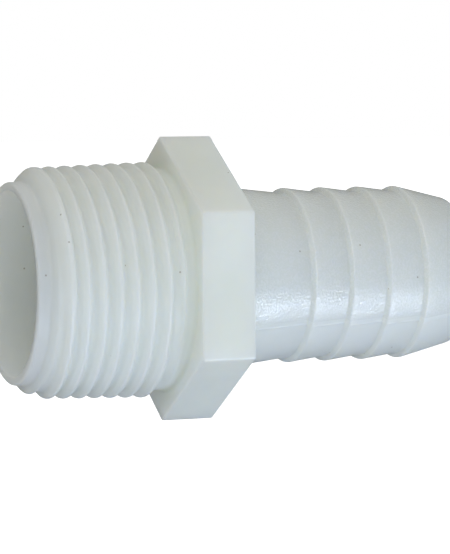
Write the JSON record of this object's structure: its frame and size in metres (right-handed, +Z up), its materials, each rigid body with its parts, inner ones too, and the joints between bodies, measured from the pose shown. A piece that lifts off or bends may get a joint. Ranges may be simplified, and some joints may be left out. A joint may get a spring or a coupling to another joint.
{
  "type": "threaded hose barb adapter",
  "caption": "Nylon hose adapter: male tapered pipe thread, wrench hexagon and stepped hose barb in one moulding, with a straight-through bore.",
  "frame": {"origin": "on the bore's axis, in the plane where the thread meets the hexagon", "axes": "+X along the bore from the thread to the barb, +Z up through a corner of the hexagon, -Y out of a flat of the hexagon"},
  "size_m": [0.0525, 0.0278, 0.032],
  "materials": {
    "natural_nylon": "natural milky nylon, satin on the thread and hexagon, fine spark-eroded grain on the barb"
  },
  "bodies": {
    "root": {"fitting_body": "natural_nylon"}
  },
  "joints": []
}
